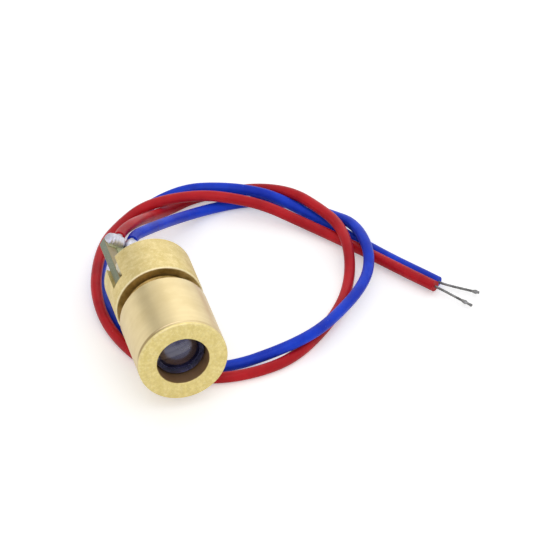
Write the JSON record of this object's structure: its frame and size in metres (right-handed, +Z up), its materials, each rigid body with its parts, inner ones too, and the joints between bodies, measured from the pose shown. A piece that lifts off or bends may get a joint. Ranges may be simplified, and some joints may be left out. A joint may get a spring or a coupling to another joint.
{
  "type": "laser diode module",
  "caption": "Small round brass laser diode module with a front aperture, a groove, a slotted rear with a driver board, and red and blue leads.",
  "frame": {"origin": "centre of the front face, on the optical axis", "axes": "-Y is the way the beam leaves, along the barrel; +Z is up as the module lies on its leads"},
  "size_m": [0.0258, 0.0236, 0.0068],
  "materials": {
    "front_brass": "satin turned brass, matte grain on the ring",
    "rear_brass": "matte sandy brass",
    "lens": "clear moulded acrylic, dark inside",
    "spring_steel": "drawn wire",
    "board": "glass-fibre laminate",
    "foil": "thinly gilt copper",
    "copper_block": "plated copper",
    "solder": "bright solder",
    "chip": "cleaved crystal",
    "bond_gold": "gold wire",
    "resistor": "black coat over ceramic",
    "terminal": "tinned",
    "adhesive": "cream cured adhesive",
    "red_insulation": "smooth soft plastic",
    "blue_insulation": "smooth soft plastic",
    "tinned_strand": "twisted tinned copper"
  },
  "bodies": {
    "root": {"front_barrel": "front_brass", "rear_body": "rear_brass", "collimating_lens": "lens", "lens_spring": "spring_steel", "circuit_board": "board", "positive_track": "foil", "supply_track": "foil", "cathode_track": "foil", "diode_heat_sink": "copper_block", "heat_sink_solder": "solder", "laser_chip": "chip", "bond_wire": "bond_gold", "drive_resistor": "resistor", "resistor_front_terminal": "terminal", "resistor_rear_terminal": "terminal", "resistor_front_solder": "solder", "resistor_rear_solder": "solder", "left_adhesive_bead": "adhesive", "right_adhesive_bead": "adhesive", "red_lead": "red_insulation", "blue_lead": "blue_insulation", "red_board_strand": "tinned_strand", "blue_board_strand": "tinned_strand", "red_solder": "solder", "blue_solder": "solder", "red_bare_end": "tinned_strand", "blue_bare_end": "tinned_strand"}
  },
  "joints": []
}
